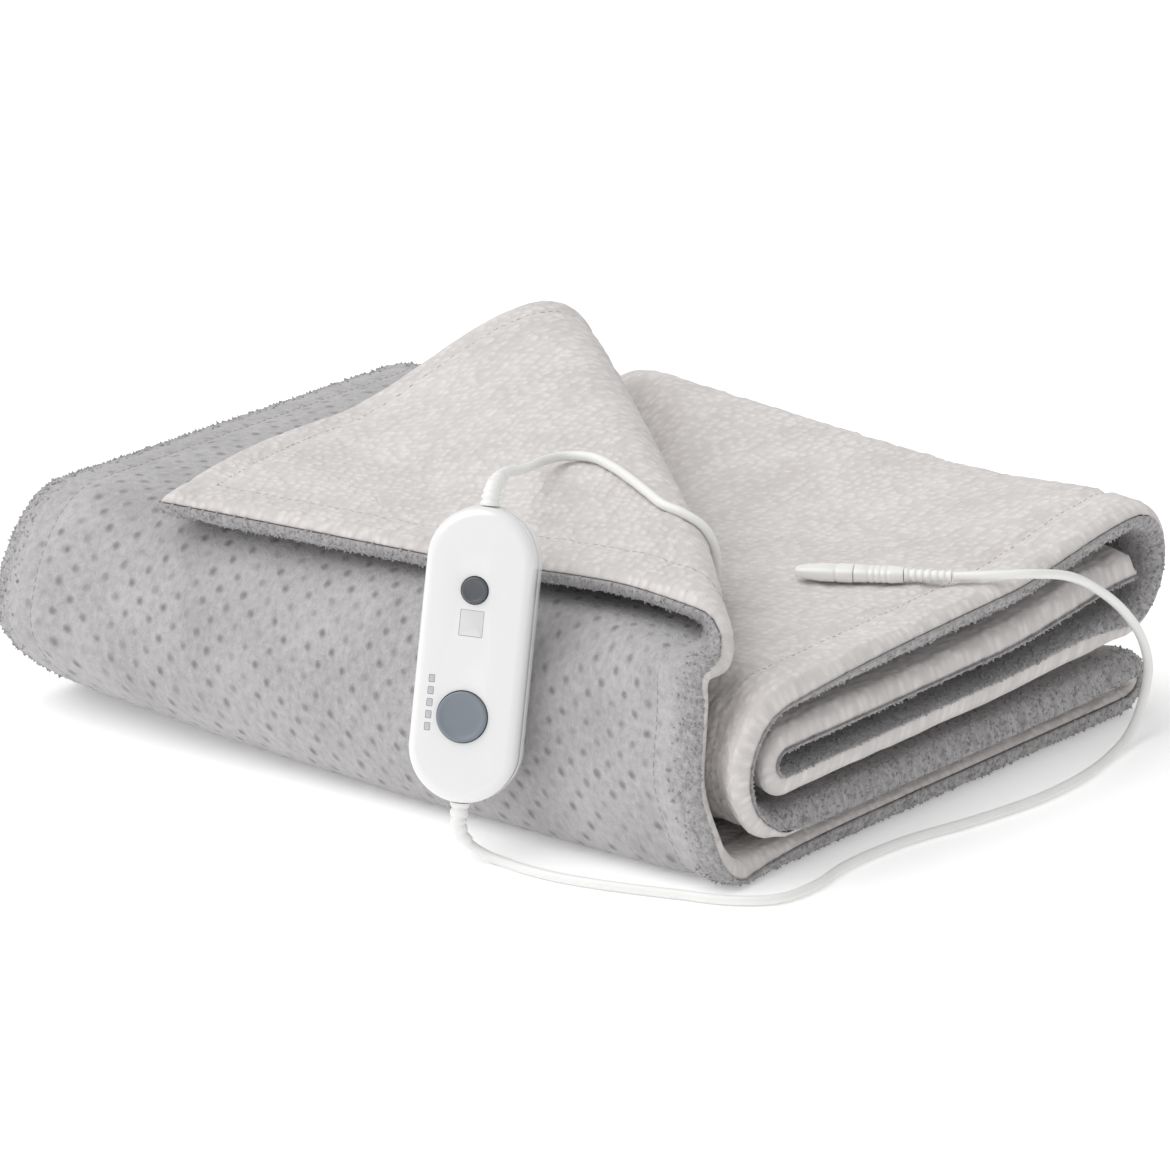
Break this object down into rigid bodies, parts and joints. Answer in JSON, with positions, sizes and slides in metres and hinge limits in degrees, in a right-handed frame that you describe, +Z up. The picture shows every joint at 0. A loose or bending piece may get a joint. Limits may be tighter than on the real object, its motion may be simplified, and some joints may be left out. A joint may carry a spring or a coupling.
{
  "type": "electric heated blanket",
  "caption": "Folded two-layer heated throw with one corner turned over, an oval push-button handset on its front fold, a plug-in blanket lead and a mains lead.",
  "frame": {"origin": "middle of the folded stack and handset in plan, on the surface that the stack lies on", "axes": "+X from the wrapped front fold, where the handset hangs, towards the back folds; +Y along the folds, from the end with the near hems to the far end; +Z up"},
  "size_m": [0.457, 0.4534, 0.174],
  "materials": {
    "grey_flannel": "soft matt, dimpled short pile",
    "light_sherpa": "soft matt, ribbed curly pile",
    "white_gloss_plastic": "polished, moulded",
    "dark_grey_plastic": "fine satin, moulded",
    "slate_plastic": "fine satin, moulded",
    "lamp_window_plastic": "translucent, moulded",
    "display_plastic": "thin smoked window",
    "white_cord_pvc": "smooth satin, extruded",
    "nickel_plated_brass": "plated, bright"
  },
  "bodies": {
    "blanket_and_handset": {"outer_flannel": "grey_flannel", "sherpa_lining": "light_sherpa", "handset_upper_shell": "white_gloss_plastic", "handset_lower_shell": "white_gloss_plastic", "lamp_window_1": "lamp_window_plastic", "lamp_window_2": "lamp_window_plastic", "lamp_window_3": "lamp_window_plastic", "lamp_window_4": "lamp_window_plastic", "lamp_window_5": "lamp_window_plastic", "display_window": "display_plastic", "mains_collar": "white_gloss_plastic", "blanket_collar": "white_gloss_plastic", "lead_relief": "white_cord_pvc", "connector_plug": "white_gloss_plastic", "blanket_socket": "white_gloss_plastic", "blanket_lead": "white_cord_pvc", "mains_lead": "white_cord_pvc", "mains_tail": "white_cord_pvc", "mains_coil": "white_cord_pvc", "plug_relief": "white_cord_pvc", "mains_plug": "white_gloss_plastic", "plug_pin_1": "nickel_plated_brass", "plug_pin_2": "nickel_plated_brass"},
    "small_button": {"small_button": "dark_grey_plastic"},
    "large_button": {"large_button": "slate_plastic"}
  },
  "joints": [
    {"name": "small_button_press", "type": "slide", "parent": "blanket_and_handset", "child": "small_button", "axis": [-0.8794, -0.4101, 0.2419], "range_m": [-0.001, 0], "stiffness_N_per_m": 400},
    {"name": "large_button_press", "type": "slide", "parent": "blanket_and_handset", "child": "large_button", "axis": [-0.8794, -0.4101, 0.2419], "range_m": [-0.001, 0], "stiffness_N_per_m": 400}
  ]
}
